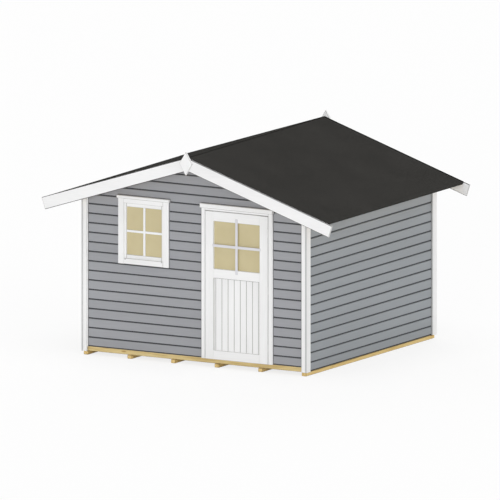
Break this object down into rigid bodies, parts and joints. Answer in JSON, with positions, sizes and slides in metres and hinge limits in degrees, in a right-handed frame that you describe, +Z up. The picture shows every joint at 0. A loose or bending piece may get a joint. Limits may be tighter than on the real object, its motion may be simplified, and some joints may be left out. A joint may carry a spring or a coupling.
{
  "type": "garden shed",
  "caption": "Timber garden shed with grey board cladding, white trim, a half-glazed door that swings outwards, a small window and a pitched felt roof.",
  "frame": {"origin": "on the ground, under the middle of the roof", "axes": "+X to the right as seen from the front, +Y from the front to the back, +Z up"},
  "size_m": [3.985, 3.351, 2.6051],
  "materials": {
    "timber": "bare softwood",
    "cladding": "matt grey paint",
    "felt": "mineral felt",
    "trim": "satin white paint",
    "glass": "clear",
    "hinge": "white paint"
  },
  "bodies": {
    "shed": {"floor_joists": "timber", "floor_deck": "timber", "end_sills": "timber", "side_sills": "timber", "front_studs": "timber", "front_trimmers": "timber", "back_studs": "timber", "side_studs": "timber", "top_plates": "timber", "ridge_purlin": "timber", "side_purlins": "timber", "roof_boards_left": "timber", "roof_boards_right": "timber", "front_wall_left": "cladding", "front_wall_under_window": "cladding", "front_wall_middle": "cladding", "front_wall_right": "cladding", "front_gable": "cladding", "back_wall": "cladding", "left_wall": "cladding", "right_wall": "cladding", "roof_felt_left": "felt", "roof_felt_right": "felt", "left_bargeboards": "trim", "right_bargeboards": "trim", "finials": "trim", "front_corner_boards": "trim", "back_corner_boards": "trim", "left_corner_boards": "trim", "right_corner_boards": "trim", "window_side_casings": "trim", "window_cross_casings": "trim", "window_cap": "trim", "sash_stiles": "trim", "sash_rails": "trim", "door_side_casings": "trim", "door_head_casing": "trim", "door_cap": "trim", "window_glass": "glass", "frame_hinges": "hinge"},
    "door": {"door_stiles": "trim", "door_rails": "trim", "door_panel": "trim", "door_glass": "glass", "door_hinges": "hinge"}
  },
  "joints": [
    {"name": "door_hinge", "type": "hinge", "parent": "shed", "child": "door", "pos_m": [1.015, -1.4805, 0.9925], "axis": [0, 0, 1], "range_deg": [0, 110]}
  ]
}
